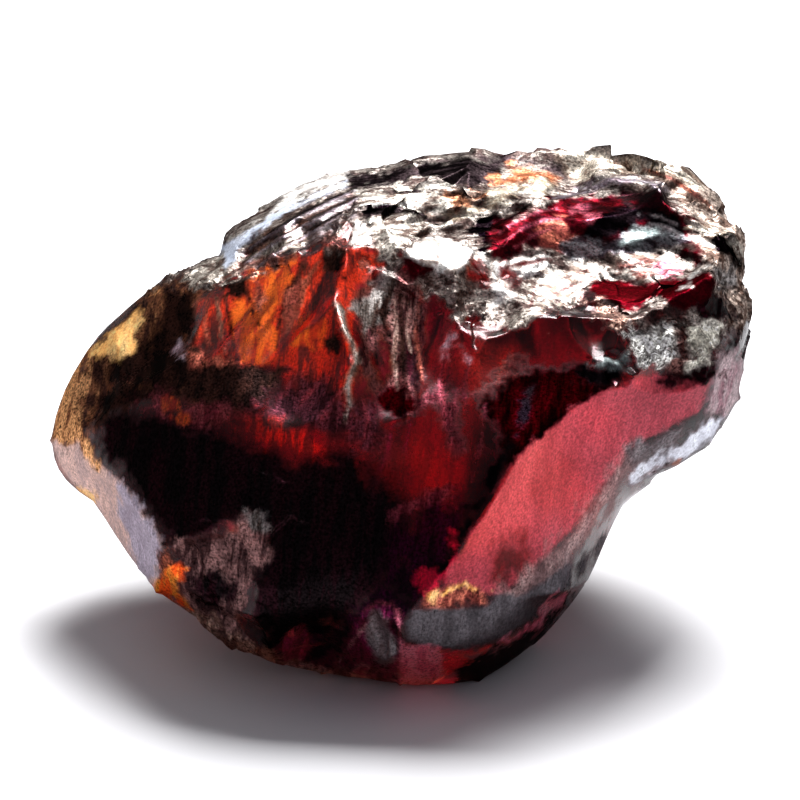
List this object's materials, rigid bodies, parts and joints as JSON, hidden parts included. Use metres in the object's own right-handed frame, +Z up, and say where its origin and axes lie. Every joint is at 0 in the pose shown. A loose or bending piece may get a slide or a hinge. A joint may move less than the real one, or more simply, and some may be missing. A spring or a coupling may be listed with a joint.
{
  "type": "garnet crystal",
  "caption": "Rough, broken clear red garnet crystal with shell-shaped fracture faces, resting on a small flat.",
  "frame": {"origin": "centre of the bounding box, at the flat that the stone rests on", "axes": "+X along the stone's length, +Z up, the broad front leaning back over the -Y side"},
  "size_m": [0.0198, 0.0146, 0.0118],
  "materials": {
    "garnet": "clear dark red with vitreous conchoidal fracture faces, hackly and silvery on the broken top"
  },
  "bodies": {
    "root": {"garnet_crystal": "garnet"}
  },
  "joints": []
}
